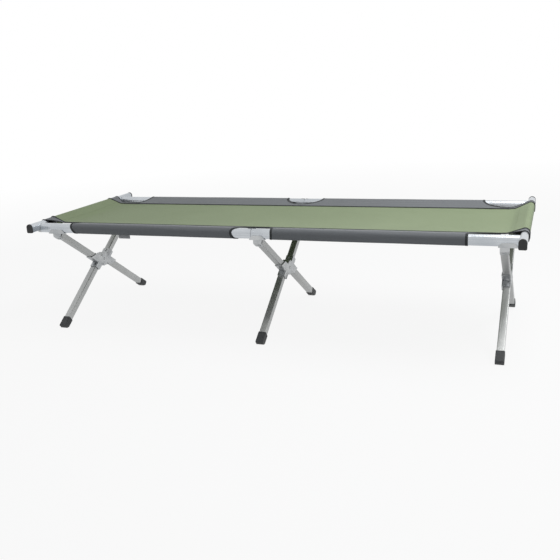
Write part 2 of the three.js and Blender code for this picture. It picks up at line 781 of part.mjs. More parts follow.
// Hem of the bed cloth round the end bar
const hemShape = toGeometry(alongBar(barOutline(-hemOutset), -hemReach, hemReach, [barOutline(-seatGap)]))
for (const [end, flip] of [['left', false], ['right', true]]) {
  add(`${end}_bed_panel`, placed(panelShape, nowhere, flip), bedCloth)
  add(`${end}_end_hem`, placed(hemShape, nowhere, flip), bedCloth)
}

export default part
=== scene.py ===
import math

import bpy
from mathutils import Matrix, Vector


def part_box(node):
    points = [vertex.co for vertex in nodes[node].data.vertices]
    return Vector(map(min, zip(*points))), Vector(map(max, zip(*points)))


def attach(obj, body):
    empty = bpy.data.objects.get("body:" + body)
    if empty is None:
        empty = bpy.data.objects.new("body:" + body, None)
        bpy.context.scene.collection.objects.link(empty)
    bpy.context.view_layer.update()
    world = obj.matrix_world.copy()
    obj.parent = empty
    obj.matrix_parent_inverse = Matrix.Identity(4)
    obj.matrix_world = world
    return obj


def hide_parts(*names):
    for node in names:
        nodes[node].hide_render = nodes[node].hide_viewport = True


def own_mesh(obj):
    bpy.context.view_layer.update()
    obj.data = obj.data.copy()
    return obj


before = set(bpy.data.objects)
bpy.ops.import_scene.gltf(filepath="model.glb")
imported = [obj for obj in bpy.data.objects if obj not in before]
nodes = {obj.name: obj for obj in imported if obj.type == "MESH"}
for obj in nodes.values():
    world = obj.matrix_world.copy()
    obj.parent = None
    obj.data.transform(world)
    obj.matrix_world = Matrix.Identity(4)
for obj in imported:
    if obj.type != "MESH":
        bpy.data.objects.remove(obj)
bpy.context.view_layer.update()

mm = 0.001

# camera: where the photograph was taken from

cameraLook = {
    "spot": (1.0267, -2.6918, 0.9916),
    "turnLeft": 21.25,   # degrees from straight across the cot
    "tiltDown": 16.08,
    "roll": -3.18,
    "lens": 46.84,
    "sensor": 36.0,
}


def makeCamera(look):
    yaw, pitch, roll = (math.radians(look[k]) for k in ("turnLeft", "tiltDown", "roll"))
    ahead = Vector((-math.sin(yaw) * math.cos(pitch), math.cos(yaw) * math.cos(pitch), -math.sin(pitch)))
    level = Vector((math.cos(yaw), math.sin(yaw), 0))
    above = level.cross(ahead)
    right = math.cos(roll) * level + math.sin(roll) * above
    up = -math.sin(roll) * level + math.cos(roll) * above
    data = bpy.data.cameras.new("photoCamera")
    data.lens = look["lens"]
    data.sensor_width = look["sensor"]
    camera = bpy.data.objects.new("photoCamera", data)
    turn = Matrix((right, up, -ahead)).transposed()
    camera.matrix_world = Matrix.Translation(look["spot"]) @ turn.to_4x4()
    bpy.context.scene.collection.objects.link(camera)
    bpy.context.scene.camera = camera


makeCamera(cameraLook)
print("camera placed")

# node helpers


def colour(red, green, blue):   # from 0-255 screen values to linear
    steps = [v / 255 for v in (red, green, blue)]
    return tuple(v / 12.92 if v <= 0.04045 else ((v + 0.055) / 1.055) ** 2.4 for v in steps) + (1.0,)


class NodeDesk:   # lays out one material's nodes from left to right
    def __init__(self, name):
        self.material = bpy.data.materials.new(name)
        self.material.use_nodes = True
        self.tree = self.material.node_tree
        self.shader = self.tree.nodes["Principled BSDF"]
        self.column = -1400

    def add(self, kind, inputs=None, **settings):
        node = self.tree.nodes.new(kind)
        node.location = (self.column, 200)
        self.column += 90
        for key, value in settings.items():
            setattr(node, key, value)
        for key, value in (inputs or {}).items():
            if isinstance(value, bpy.types.NodeSocket):
                self.tree.links.new(value, node.inputs[key])
            else:
                node.inputs[key].default_value = value
        return node

    def math(self, operation, first, second):
        return self.add("ShaderNodeMath", {0: first, 1: second}, operation=operation).outputs[0]

    def remap(self, value, fromLow, fromHigh, toLow, toHigh):
        sockets = {
            "Value": value, "From Min": fromLow, "From Max": fromHigh, "To Min": toLow, "To Max": toHigh,
        }
        return self.add("ShaderNodeMapRange", sockets).outputs[0]

    def blend(self, share, first, second, mode="MIX"):
        node = self.add("ShaderNodeMix", data_type="RGBA", blend_type=mode)
        for index, value in ((0, share), (6, first), (7, second)):
            if isinstance(value, bpy.types.NodeSocket):
                self.tree.links.new(value, node.inputs[index])
            else:
                node.inputs[index].default_value = value
        return node.outputs[2]

    def noise(self, place, scale, detail=3.0, roughness=0.55):
        sockets = {"Vector": place, "Scale": scale, "Detail": detail, "Roughness": roughness}
        return self.add("ShaderNodeTexNoise", sockets).outputs["Fac"]

    def bump(self, height, strength, distance, under=None):
        sockets = {"Height": height, "Strength": strength, "Distance": distance}
        if under is not None:
            sockets["Normal"] = under
        return self.add("ShaderNodeBump", sockets).outputs[0]

    def finish(self, **sockets):
        for key, value in sockets.items():
            socket = self.shader.inputs[key.replace("_", " ")]
            if isinstance(value, bpy.types.NodeSocket):
                self.tree.links.new(value, socket)
            else:
                socket.default_value = value
        return self.material


# metals: drawn tube with lengthwise lines, and sand-cast pieces with a fine grain

tubeLook = {
    "light": (204, 208, 212),
    "dark": (178, 183, 188),
    "roughness": (0.2, 0.34),
    "lineScale": 420.0,      # lengthwise drawing lines
    "lineStretch": 0.012,
    "blotchScale": 9.0,
    "lineBump": 0.12,
    "lineDepth": 0.4 * mm,
}
legLook = {
    "light": (190, 191, 190),
    "dark": (164, 166, 166),
    "roughness": (0.4, 0.54),
    "lineScale": 420.0,
    "lineStretch": 0.012,
    "blotchScale": 9.0,
    "lineBump": 0.1,
    "lineDepth": 0.4 * mm,
}
castLook = {
    "light": (198, 200, 201),
    "dark": (168, 171, 173),
    "roughness": (0.36, 0.54),
    "grainScale": 900.0,
    "blotchScale": 26.0,
    "grainBump": 0.3,
    "grainDepth": 0.3 * mm,
}
linkGapShadeLook = {   # steel tinted dark: painted shade for the gap between the rail halves
    "tint": (78, 80, 83),
    "shade": 0.92,
    "roughness": 0.42,
    "grainScale": 700.0,
    "grainBump": 0.1,
    "grainDepth": 0.2 * mm,
}
# which values of the noise run from one end of a look to the other
metalSpread = {
    "lines": (0.15, 0.4),      # lines times blotches, from dark to light
    "blotch": (0.35, 0.65),    # blotches alone, from dark to light
    "rough": (0.3, 0.7),       # blotches, from smooth to rough
}


def tubeMetal(name, look, lean=None):
    # lean is how many degrees about X bring the lines along the tube; without it they run along X
    desk = NodeDesk(name)
    place = desk.add("ShaderNodeTexCoord").outputs["Object"]
    turned, stretch = place, (look["lineStretch"], 1, 1)
    if lean is not None:
        turn = (math.radians(lean), 0, 0)
        turned = desk.add("ShaderNodeMapping", {"Vector": place, "Rotation": turn}).outputs[0]
        stretch = (1, 1, look["lineStretch"])
    drawn = desk.add("ShaderNodeMapping", {"Vector": turned, "Scale": stretch}).outputs[0]
    lines = desk.noise(drawn, look["lineScale"], 4.0, 0.6)
    blotch = desk.noise(place, look["blotchScale"], 3.0)
    mixed = desk.math("MULTIPLY", lines, blotch)
    paler = desk.remap(mixed, *metalSpread["lines"], 0, 1)
    tint = desk.blend(paler, colour(*look["dark"]), colour(*look["light"]))
    rough = desk.remap(blotch, *metalSpread["rough"], *look["roughness"])
    normal = desk.bump(lines, look["lineBump"], look["lineDepth"])
    return desk.finish(Base_Color=tint, Metallic=1.0, Roughness=rough, Normal=normal)


def castMetal(name, look):
    desk = NodeDesk(name)
    place = desk.add("ShaderNodeTexCoord").outputs["Object"]
    grain = desk.noise(place, look["grainScale"], 2.0)
    blotch = desk.noise(place, look["blotchScale"], 4.0)
    paler = desk.remap(blotch, *metalSpread["blotch"], 0, 1)
    tint = desk.blend(paler, colour(*look["dark"]), colour(*look["light"]))
    rough = desk.remap(blotch, *metalSpread["rough"], *look["roughness"])
    normal = desk.bump(grain, look["grainBump"], look["grainDepth"])
    return desk.finish(Base_Color=tint, Metallic=1.0, Roughness=rough, Normal=normal)


def plainSteel(name, look):
    desk = NodeDesk(name)
    place = desk.add("ShaderNodeTexCoord").outputs["Object"]
    grain = desk.noise(place, look["grainScale"], 2.0)
    shade = [v * look["shade"] for v in look["tint"]]
    tint = desk.blend(grain, colour(*shade), colour(*look["tint"]))
    normal = desk.bump(grain, look["grainBump"], look["grainDepth"])
    return desk.finish(Base_Color=tint, Metallic=1.0, Roughness=look["roughness"], Normal=normal)


# moulded plastic with a fine skin texture and paler scuffs low down

capLook = {
    "tint": (30, 31, 32),
    "scuff": (70, 71, 72),
    "roughness": 0.5,
    "skinScale": 1600.0,
    "scuffHeight": None,
}
footLook = {
    "tint": (62, 64, 66),
    "scuff": (112, 112, 110),
    "roughness": 0.62,
    "skinScale": 1300.0,
    "scuffHeight": 12 * mm,
}
plasticWear = {
    "patchScale": 60.0,
    "wornFrom": (0.62, 0.8),       # patches above this are scuffed
    "mostWorn": 0.5,
    "roughFrom": (0.3, 0.7),
    "roughStep": (-0.06, 0.08),    # added to a look's roughness
    "skinBump": 0.25,
    "skinDepth": 0.2 * mm,
}


def mouldedPlastic(name, look):
    desk = NodeDesk(name)
    place = desk.add("ShaderNodeTexCoord").outputs["Object"]
    skin = desk.noise(place, look["skinScale"], 2.0)
    patch = desk.noise(place, plasticWear["patchScale"], 4.0)
    worn = desk.remap(patch, *plasticWear["wornFrom"], 0, plasticWear["mostWorn"])
    if look["scuffHeight"]:
        height = desk.add("ShaderNodeSeparateXYZ", {"Vector": place}).outputs["Z"]
        low = desk.remap(height, 0.0, look["scuffHeight"], 1, 0)
        worn = desk.math("MAXIMUM", worn, desk.math("MULTIPLY", low, patch))
    tint = desk.blend(worn, colour(*look["tint"]), colour(*look["scuff"]))
    roughness = [look["roughness"] + step for step in plasticWear["roughStep"]]
    rough = desk.remap(patch, *plasticWear["roughFrom"], *roughness)
    normal = desk.bump(skin, plasticWear["skinBump"], plasticWear["skinDepth"])
    return desk.finish(Base_Color=tint, Roughness=rough, Normal=normal)


# woven cloth, with threads laid out in metres on the piece's own UV map

bedClothLook = {
    "tint": (135, 149, 117),
    "shadow": (128, 142, 110),
    "thread": 0.0011,
    "weaveBump": 0.35,
    "sheen": 0.06,
    "roughness": 0.82,
    "crease": 0.25,
}
sleeveClothLook = {
    "tint": (103, 107, 111),
    "shadow": (95, 99, 103),
    "thread": 0.001,
    "weaveBump": 0.3,
    "sheen": 0.08,
    "roughness": 0.6,
    "crease": 0.2,
}
bindingLook = {
    "tint": (52, 56, 58),
    "shadow": (40, 43, 45),
    "thread": 0.0016,
    "weaveBump": 0.5,
    "sheen": 0.05,
    "roughness": 0.85,
    "crease": 0.1,
}
tabClothLook = {
    "tint": (170, 172, 174),
    "shadow": (158, 160, 163),
    "thread": 0.0009,
    "weaveBump": 0.3,
    "sheen": 0.06,
    "roughness": 0.75,
    "crease": 0.15,
}
bedThreadLook = {"tint": (120, 132, 104), "roughness": 0.75}
tapeThreadLook = {"tint": (44, 47, 49), "roughness": 0.75}
clothGrain = {
    "broadScale": 3.2,
    "fineScale": 160.0,
    "broadShare": 0.6,
    "fineShare": 0.4,
    "tone": (0.35, 0.65),      # which tones run from shadow to tint
    "gapDepth": 0.35,          # below this height of the weave the cloth darkens
    "gapShade": 0.82,
    "creaseScale": 14.0,
    "creaseDepth": 2 * mm,
    "weaveDepth": 0.25 * mm,
    "sheenRoughness": 0.5,
}
threadTwist = {"scale": 1800.0, "shade": 0.8, "bump": 0.3, "depth": 0.2 * mm}


def wovenCloth(name, look):
    desk = NodeDesk(name)
    place = desk.add("ShaderNodeTexCoord").outputs["UV"]
    apart = desk.add("ShaderNodeSeparateXYZ", {"Vector": place})
    waves = []
    for axis in ("X", "Y"):
        turns = desk.math("MULTIPLY", apart.outputs[axis], math.pi / look["thread"])
        waves.append(desk.math("ABSOLUTE", desk.math("SINE", turns, 0), 0))
    checker = desk.add("ShaderNodeTexChecker", {"Vector": place, "Scale": 1 / look["thread"]})
    threads = {0: checker.outputs["Fac"], 2: waves[0], 3: waves[1]}
    weave = desk.add("ShaderNodeMix", threads, data_type="FLOAT").outputs[0]
    broad = desk.noise(place, clothGrain["broadScale"], 3.0)
    fine = desk.noise(place, clothGrain["fineScale"], 3.0)
    broadPart = desk.math("MULTIPLY", broad, clothGrain["broadShare"])
    tone = desk.math("ADD", broadPart, desk.math("MULTIPLY", fine, clothGrain["fineShare"]))
    paler = desk.remap(tone, *clothGrain["tone"], 0, 1)
    tint = desk.blend(paler, colour(*look["shadow"]), colour(*look["tint"]))
    gaps = desk.remap(weave, 0, clothGrain["gapDepth"], clothGrain["gapShade"], 1)
    grey = desk.add("ShaderNodeCombineColor", {0: gaps, 1: gaps, 2: gaps}).outputs[0]
    toned = desk.blend(1.0, tint, grey, "MULTIPLY")
    soft = desk.noise(place, clothGrain["creaseScale"], 2.0)
    creases = desk.bump(soft, look["crease"], clothGrain["creaseDepth"])
    normal = desk.bump(weave, look["weaveBump"], clothGrain["weaveDepth"], creases)
    return desk.finish(
        Base_Color=toned, Roughness=look["roughness"], Sheen_Weight=look["sheen"],
        Sheen_Roughness=clothGrain["sheenRoughness"], Normal=normal,
    )


def sewingThread(name, look):
    desk = NodeDesk(name)
    place = desk.add("ShaderNodeTexCoord").outputs["Object"]
    twist = desk.noise(place, threadTwist["scale"], 2.0)
    shade = [v * threadTwist["shade"] for v in look["tint"]]
    tint = desk.blend(twist, colour(*shade), colour(*look["tint"]))
    normal = desk.bump(twist, threadTwist["bump"], threadTwist["depth"])
    return desk.finish(Base_Color=tint, Roughness=look["roughness"], Normal=normal)


barLean = 90   # degrees from straight up, for the drawing lines
legLean = 55
railMetal = tubeMetal("railTube", tubeLook)
barMetal = tubeMetal("barTube", tubeLook, barLean)
legMetalOut = tubeMetal("legTubeNearUp", legLook, legLean)
legMetalBack = tubeMetal("legTubeFarUp", legLook, -legLean)
hubMetal = castMetal("castHub", castLook)
bracketMetal = castMetal("castBracket", castLook)
# the rail link's dark steel tint is painted shade, darkening the gap between the rail halves
linkGapShadeSteel = plainSteel("linkGapShadeSteel", linkGapShadeLook)
capPlastic = mouldedPlastic("barCapPlastic", capLook)
footPlastic = mouldedPlastic("footCapPlastic", footLook)
bedCloth = wovenCloth("bedCloth", bedClothLook)
sleeveCloth = wovenCloth("sleeveCloth", sleeveClothLook)
bindingCloth = wovenCloth("bindingTape", bindingLook)
tabCloth = wovenCloth("tabCloth", tabClothLook)
bedThread = sewingThread("bedThread", bedThreadLook)
tapeThread = sewingThread("tapeThread", tapeThreadLook)
print("materials made")

# the carried-over frame: rounded edges and finishes

edgeRound = {"rail": 0.3 * mm, "cast": 0.7 * mm, "leg": 0.5 * mm, "cap": 0.8 * mm, "small": 0.3 * mm}
edgeFinish = {"weld": 0.01 * mm, "segments": 2, "sharperThan": 38, "faceWeight": 90}   # angle in degrees


def dress(name, material, roundness):
    piece = nodes[name]
    mesh = piece.data
    for layer in ("custom_normal", "sharp_edge"):
        if layer in mesh.attributes:
            mesh.attributes.remove(mesh.attributes[layer])
    mesh.polygons.foreach_set("use_smooth", [True] * len(mesh.polygons))
    mesh.materials.clear()
    mesh.materials.append(material)
    weld = piece.modifiers.new("joinedFacets", "WELD")
    weld.merge_threshold = edgeFinish["weld"]
    bevel = piece.modifiers.new("roundedEdges", "BEVEL")
    bevel.width = roundness
    bevel.segments = edgeFinish["segments"]
    bevel.limit_method = "ANGLE"
    bevel.angle_limit = math.radians(edgeFinish["sharperThan"])
    bevel.miter_outer = "MITER_ARC"
    smooth = piece.modifiers.new("evenShading", "WEIGHTED_NORMAL")
    smooth.weight = edgeFinish["faceWeight"]
    smooth.keep_sharp = False


for side in ("near", "far"):
    # arms lean one way and lower legs the other, in turn on each side
    leans = (legMetalOut, legMetalBack)
    armMetal, lowerMetal = leans if side == "near" else reversed(leans)
    for end in ("left", "right"):
        dress(f"{side}_{end}_rail", railMetal, edgeRound["rail"])
        dress(f"{side}_{end}_bar_cap", capPlastic, edgeRound["cap"])
        dress(f"{side}_{end}_end_plug", bracketMetal, edgeRound["rail"])
    dress(f"{side}_rail_link", linkGapShadeSteel, edgeRound["small"])
    for unit in ("left", "middle", "right"):
        dress(f"{side}_{unit}_bracket", bracketMetal, edgeRound["leg"])
        dress(f"{side}_{unit}_upper_arm", armMetal, edgeRound["leg"])
        dress(f"{side}_{unit}_lower_leg", lowerMetal, edgeRound["leg"])
        dress(f"{side}_{unit}_foot", footPlastic, edgeRound["cap"])
for unit in ("left", "middle", "right"):
    dress(f"{unit}_hub", hubMetal, edgeRound["cast"])
for end in ("left", "right"):
    dress(f"{end}_end_bar", barMetal, edgeRound["small"])
print("frame dressed")

# mesh helpers

clothCrease = 50   # degrees; sharper corners of thickened cloth are shaded as edges

def addMesh(name, points, faces, material, uvs=None):
    mesh = bpy.data.meshes.new(name)
    mesh.from_pydata([tuple(p) for p in points], [], faces)
    mesh.materials.append(material)
    if uvs is not None:
        layer = mesh.uv_layers.new(name="cloth")
        for loop in mesh.loops:
            layer.data[loop.index].uv = uvs[loop.vertex_index]
    mesh.polygons.foreach_set("use_smooth", [True] * len(mesh.polygons))
    mesh.validate()
    mesh.update()
    piece = bpy.data.objects.new(name, mesh)
    bpy.context.scene.collection.objects.link(piece)
    return piece


def gridFaces(rows, columns, closedAcross=False):
    faces = []
    across = columns if closedAcross else columns - 1
    for i in range(rows - 1):
        for j in range(across):
            k = (j + 1) % columns
            low, high = i * columns, (i + 1) * columns
            faces.append((low + j, low + k, high + k, high + j))
    return faces


def thicken(piece, thickness):   # half to each side of the sheet
    solid = piece.modifiers.new("clothThickness", "SOLIDIFY")
    solid.thickness = thickness
    solid.offset = 0.0
    solid.use_even_offset = True
    bake(piece)
    piece.data.set_sharp_from_angle(angle=math.radians(clothCrease))


def bake(piece):   # applies the piece's modifiers to its mesh
    shape = bpy.data.meshes.new_from_object(piece.evaluated_get(bpy.context.evaluated_depsgraph_get()))
    piece.modifiers.clear()
    old, piece.data = piece.data, shape
    bpy.data.meshes.remove(old)


def sweep(name, path, radius, material, sides=8):   # a round cord along a path, closed at both ends
    points, uvs, length = [], [], 0.0
    side = None
    for i, p in enumerate(path):
        ahead = (path[min(i + 1, len(path) - 1)] - path[max(i - 1, 0)]).normalized()
        if side is None:
            side = ahead.cross(Vector((0, 0, 1)))
            if side.length < 0.1:   # the path starts nearly upright
                side = ahead.cross(Vector((0, 1, 0)))
        side = (side - ahead * side.dot(ahead)).normalized()
        up = side.cross(ahead).normalized()
        length += (p - path[i - 1]).length if i else 0.0
        for k in range(sides):
            angle = 2 * math.pi * k / sides
            points.append(p + radius * (math.cos(angle) * side + math.sin(angle) * up))
            uvs.append((length, radius * angle))
    faces = gridFaces(len(path), sides, True)
    last = (len(path) - 1) * sides
    faces.append(tuple(reversed(range(sides))))
    faces.append(tuple(range(last, last + sides)))
    return addMesh(name, points, faces, material, uvs)


# the cloth's own measures, taken from the frame where it has them

railLow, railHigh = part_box("near_right_rail")
barLow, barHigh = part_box("right_end_bar")
railY = (railHigh.y + railLow.y) / -2            # rails' centre lines, plus and minus
railRadius = (railHigh.y - railLow.y) / 2
crownZ = railHigh.z - railRadius
barX = (barLow.x + barHigh.x) / 2
barRadius = (barHigh.x - barLow.x) / 2
barCrownZ = barHigh.z - barRadius

clothCut = {
    "bedThickness": 1.2 * mm,
    "sleeveThickness": 1.1 * mm,
    "lift": 0.9 * mm,             # cloth's middle above the rail's skin
    "seamY": 215 * mm,
    "seamZ": 427 * mm,
    "seamLip": 1.2 * mm,
    "railCorner": 4.5 * mm,
    "sag": 12 * mm,
    "riseStart": 882 * mm,
    "riseKnee": 10 * mm,          # half the length over which the cloth bends up
    "barCorner": 4 * mm,
    "hemSeam": 38 * mm,           # the hem's stitching, measured from the bar
    "underGap": 1.6 * mm,         # between the sheet and the hem's lower layer
    "underDrop": 6 * mm,
    "foldDepth": 1.6 * mm,        # faint hollows that run in from the corners
    "foldRun": 420 * mm,
    "foldTurn": 0.9,              # how far a hollow runs in across the half width, as a share
    "foldSpread": 0.22,
    "foldEase": 4,
    "middleScoop": 27 * mm,       # cloth left beside the seam at the middle
    "middleBow": 0.7,             # power that fills out the middle end's bow round the rail
    "outerLean": 3,               # power that keeps the outer end straight until under the rail
    "hemWrap": 1.4 * math.pi,     # where the hem leaves the bar, from straight up
    "hemLead": 4 * mm,
    "hemLeadBack": 0.35,          # share of the way up to the sheet that the hem has come by then
    "hemNarrowing": 3 * mm,
    "stripOverlap": 0.5 * mm,
}
clothSteps = {
    "flat": 48,          # along the bed's flat part
    "slope": 14,         # up to the end bar
    "across": 33,
    "sleeve": 40,        # along a sleeve
    "strip": 26,
    "stripAcross": 7,
    "scoop": 10,         # round each quarter of a cut-out
    "around": 16,        # round the rail
    "section": 14,       # along a straight side of the sleeve's section
    "corner": 4,
    "hemCrown": 10,
    "hemWrap": 3,
    "stitchedHem": 20,
}
pullLook = {"height": 0.25 * mm, "across": 310, "wander": 2.2, "along": 9}   # faint pulls along the sleeves
# how each end of the bed differs: seam and edge on the bar, cloth left beside the seam, where the scoop ends
endCut = {
    "left": {
        "seamOnBar": 212 * mm, "edgeOnBar": 273 * mm,
        "strip": 15 * mm, "scoopEnd": 806 * mm,
    },
    "right": {
        "seamOnBar": 234 * mm, "edgeOnBar": 270 * mm,
        "strip": 15 * mm, "scoopEnd": 862 * mm,
    },
}
# per sleeve: outer end on the rail, and under it; middle end on the rail's outer side and on its top
sleeveCut = {
    ("near", "left"): {
        "end": 782 * mm, "lowEnd": 758 * mm,
        "middleSide": 77 * mm, "middleTop": 54 * mm,
    },
    ("near", "right"): {
        "end": 766 * mm, "lowEnd": 766 * mm,
        "middleSide": 75 * mm, "middleTop": 73 * mm,
    },
    ("far", "left"): {
        "end": 762 * mm, "lowEnd": 750 * mm,
        "middleSide": 74 * mm, "middleTop": 72 * mm,
    },
    ("far", "right"): {
        "end": 763 * mm, "lowEnd": 763 * mm,
        "middleSide": 80 * mm, "middleTop": 84 * mm,
    },
}
hemRadius = barRadius + 0.3 * mm + clothCut["bedThickness"] / 2

# the cloth leaves its bend in a straight slope that touches the crown of the end bar
slopeGap = Vector((barX - clothCut["riseStart"], barCrownZ - clothCut["seamZ"]))
slopeAngle = math.atan2(slopeGap.y, slopeGap.x) + math.asin(hemRadius / slopeGap.length)
touchX = barX - hemRadius * math.sin(slopeAngle)
touchZ = barCrownZ + hemRadius * math.cos(slopeAngle)


def riseShare(x):   # 0 on the flat, 1 where the cloth touches the end bar
    knee = clothCut["riseKnee"]
    past = abs(x) - clothCut["riseStart"]
    if past < knee:
        past = max(past + knee, 0.0) ** 2 / (4 * knee)
    return min(past / (touchX - clothCut["riseStart"]), 1.0)


def seamPlace(x, end):   # the seam line between bed and sleeve: |y| and z
    share = riseShare(x)
    y = clothCut["seamY"] + (endCut[end]["seamOnBar"] - clothCut["seamY"]) * share
    return y, clothCut["seamZ"] + (touchZ - clothCut["seamZ"]) * share


def hemTrack():   # (x, z) stations of the hem round the end bar, from where the cloth touches it
    corner = clothCut["barCorner"] + hemRadius - barRadius
    lowZ = barLow.z + clothCut["barCorner"]
    inX = barRadius - clothCut["barCorner"]
    track = []

    def bend(x, z, size, start, stop, steps):   # angles are measured from straight up, outwards
        for i in range(steps + 1):
            angle = start + (stop - start) * i / steps
            track.append((barX + x + size * math.sin(angle), z + size * math.cos(angle)))

    bend(0, barCrownZ, hemRadius, -slopeAngle, math.pi / 2, clothSteps["hemCrown"])
    bend(inX, lowZ, corner, math.pi / 2, math.pi, clothSteps["corner"])
    bend(-inX, lowZ, corner, math.pi, clothCut["hemWrap"], clothSteps["hemWrap"])
    return track[1:]


def hemStations(sheet):
    # (x, z round the end bar or none, share of the way back up under the sheet or none)
    backX = barX - clothCut["hemSeam"]
    leadX = barX - hemRadius - clothCut["hemLead"]
    under = [(leadX, None, clothCut["hemLeadBack"]), (backX, None, 1.0)]
    return [(x, None, None) for x in sheet] + [(x, z, None) for x, z in hemTrack()] + under


def stationHeight(station, sheetZ):
    _, height, back = station
    if height is not None:
        return height
    if back is None:
        return sheetZ
    lowest = barLow.z + clothCut["underDrop"]
    return lowest + (sheetZ - clothCut["underGap"] - lowest) * back


def sheetRun():
    start, flatSteps, steps = clothCut["riseStart"], clothSteps["flat"], clothSteps["slope"]
    flat = [start * i / flatSteps for i in range(flatSteps)]
    return flat + [start + (touchX - start) * i / steps for i in range(steps + 1)]


def sheetHeight(x, across, end):   # across runs from -1 at the near seam to 1 at the far one
    sag = clothCut["sag"] * (1 - riseShare(x)) * (1 - across * across)
    inwards = (clothCut["riseStart"] - x) / clothCut["foldRun"]
    hollow = 0.0
    if 0 < inwards < 1:
        gap = (abs(across) - 1 + clothCut["foldTurn"] * inwards) / clothCut["foldSpread"]
        hollow = clothCut["foldDepth"] * math.exp(-gap * gap) * (1 - inwards)
        hollow *= min(clothCut["foldEase"] * inwards, 1)
    return seamPlace(x, end)[1] - sag - hollow


def bedHalf(end):
    sign = 1 if end == "right" else -1
    columns = clothSteps["across"]
    points, uvs = [], []
    run = 0.0
    for station in hemStations(sheetRun()):
        x, height, back = station
        halfWidth = endCut[end]["seamOnBar"] if height is not None else seamPlace(x, end)[0]
        if back is not None:
            halfWidth -= clothCut["hemNarrowing"] * back
        row = []
        for j in range(columns):
            across = 2 * j / (columns - 1) - 1
            z = stationHeight(station, sheetHeight(x, across, end))
            row.append(Vector((sign * x, across * halfWidth, z)))
        if points:
            run += (row[columns // 2] - points[-columns + columns // 2]).length
        points += row
        uvs += [(sign * run, p.y) for p in row]
    faces = gridFaces(len(points) // columns, columns)
    if sign > 0:
        faces = [tuple(reversed(f)) for f in faces]
    piece = addMesh(f"{end}_bed_cloth", points, faces, bedCloth, uvs)
    thicken(piece, clothCut["bedThickness"])
    return piece, run


def sleeveOutline():
    # drop-shaped section from the seam over the rail and back under it: (inward y, z) points, and lengths
    radius = railRadius + clothCut["lift"]
    corner = clothCut["railCorner"] + clothCut["lift"]
    seam = Vector((railY - clothCut["seamY"], clothCut["seamZ"]))
    crown = Vector((0, crownZ))
    footZ = railLow.z + clothCut["railCorner"]
    footIn = Vector((railRadius - clothCut["railCorner"], footZ))
    lip = clothCut["seamLip"]

    def touch(centre, size, side):
        gap = seam - centre
        return math.atan2(gap.y, gap.x) + side * math.acos((size - lip) / gap.length)

    top = touch(crown, radius, 1)
    low = touch(footIn, corner, -1)
    points = []

    def straight(a, b, steps):
        for i in range(steps):
            points.append(a.lerp(b, i / steps))

    def bend(centre, size, start, stop, steps):
        for i in range(steps + 1):
            angle = start + (stop - start) * i / steps
            points.append(centre + size * Vector((math.cos(angle), math.sin(angle))))

    onTop = crown + radius * Vector((math.cos(top), math.sin(top)))
    onLow = footIn + corner * Vector((math.cos(low), math.sin(low)))
    steps, cornerSteps = clothSteps["section"], clothSteps["corner"]
    lowLip = seam + lip * Vector((math.cos(low), math.sin(low)))
    straight(seam + lip * Vector((math.cos(top), math.sin(top))), onTop, steps)
    bend(crown, radius, top, math.pi, clothSteps["around"])
    bend(Vector((-footIn.x, footZ)), corner, math.pi, 1.5 * math.pi, cornerSteps)
    bend(footIn, corner, 1.5 * math.pi, 2 * math.pi + low, cornerSteps)
    straight(onLow + (seam - onLow) / steps, lowLip, steps - 1)
    points.append(lowLip)
    lengths = [0.0]
    for i in range(1, len(points)):
        lengths.append(lengths[-1] + (points[i] - points[i - 1]).length)
    return points, lengths


outlinePoints, outlineLengths = sleeveOutline()
wholeGirth = outlineLengths[-1]


def onOutline(run, lift=0.0):   # place at a length along the section, lifted outwards
    run = min(max(run, 0.0), wholeGirth)
    k = 1
    while k < len(outlineLengths) - 1 and outlineLengths[k] < run:
        k += 1
    a, b = outlinePoints[k - 1], outlinePoints[k]
    gap = outlineLengths[k] - outlineLengths[k - 1]
    share = (run - outlineLengths[k - 1]) / gap if gap else 0.0
    along = (b - a).normalized() if gap else Vector((1, 0))
    outward = Vector((along.y, -along.x))
    return a.lerp(b, share) + outward * lift


def runAtMiddle(isThere):   # the length along the section nearest the rail's middle, on one side of it
    return min(outlineLengths, key=lambda v: abs(onOutline(v).x) + (0 if isThere(onOutline(v).y) else 1))


wellBelow = 10 * mm
topRun = runAtMiddle(lambda z: z > crownZ)
lowRun = runAtMiddle(lambda z: z < crownZ - wellBelow)


def innerEdge(cut):   # the middle end of a sleeve as (run, x), from the seam over the rail to the seam
    left = clothCut["middleScoop"]
    edge = []
    steps = clothSteps["scoop"]
    for i in range(steps + 1):
        angle = math.pi / 2 * (1 - i / steps)
        edge.append((topRun - (topRun - left) * math.sin(angle), cut["middleTop"] * math.cos(angle)))
    around = clothSteps["around"]
    for i in range(1, around):
        run = topRun + (lowRun - topRun) * i / around
        bow = math.sin(math.pi * i / around) ** clothCut["middleBow"]
        edge.append((run, cut["middleTop"] + (cut["middleSide"] - cut["middleTop"]) * bow))
    under = wholeGirth - left
    for i in range(steps + 1):
        angle = math.pi / 2 * i / steps
        edge.append((lowRun + (under - lowRun) * math.sin(angle), cut["middleTop"] * math.cos(angle)))
    return edge


def outerEdge(cut, end):   # the outer end of a sleeve, in the same way
    left = endCut[end]["strip"]
    stop = endCut[end]["scoopEnd"]
    edge = []
    steps = clothSteps["scoop"]
    for i in range(steps + 1):
        angle = math.pi / 2 * (1 - i / steps)
        x = stop - (stop - cut["end"]) * math.cos(angle)
        edge.append((topRun - (topRun - left) * math.sin(angle), x))
    around = clothSteps["around"]
    for i in range(1, around):
        share = i / around
        x = cut["end"] + (cut["lowEnd"] - cut["end"]) * share ** clothCut["outerLean"]
        edge.append((topRun + (lowRun - topRun) * share, x))
    under = wholeGirth - left
    for i in range(steps + 1):
        angle = math.pi / 2 * i / steps
        x = stop - (stop - cut["lowEnd"]) * math.cos(angle)
        edge.append((lowRun + (under - lowRun) * math.sin(angle), x))
    return edge


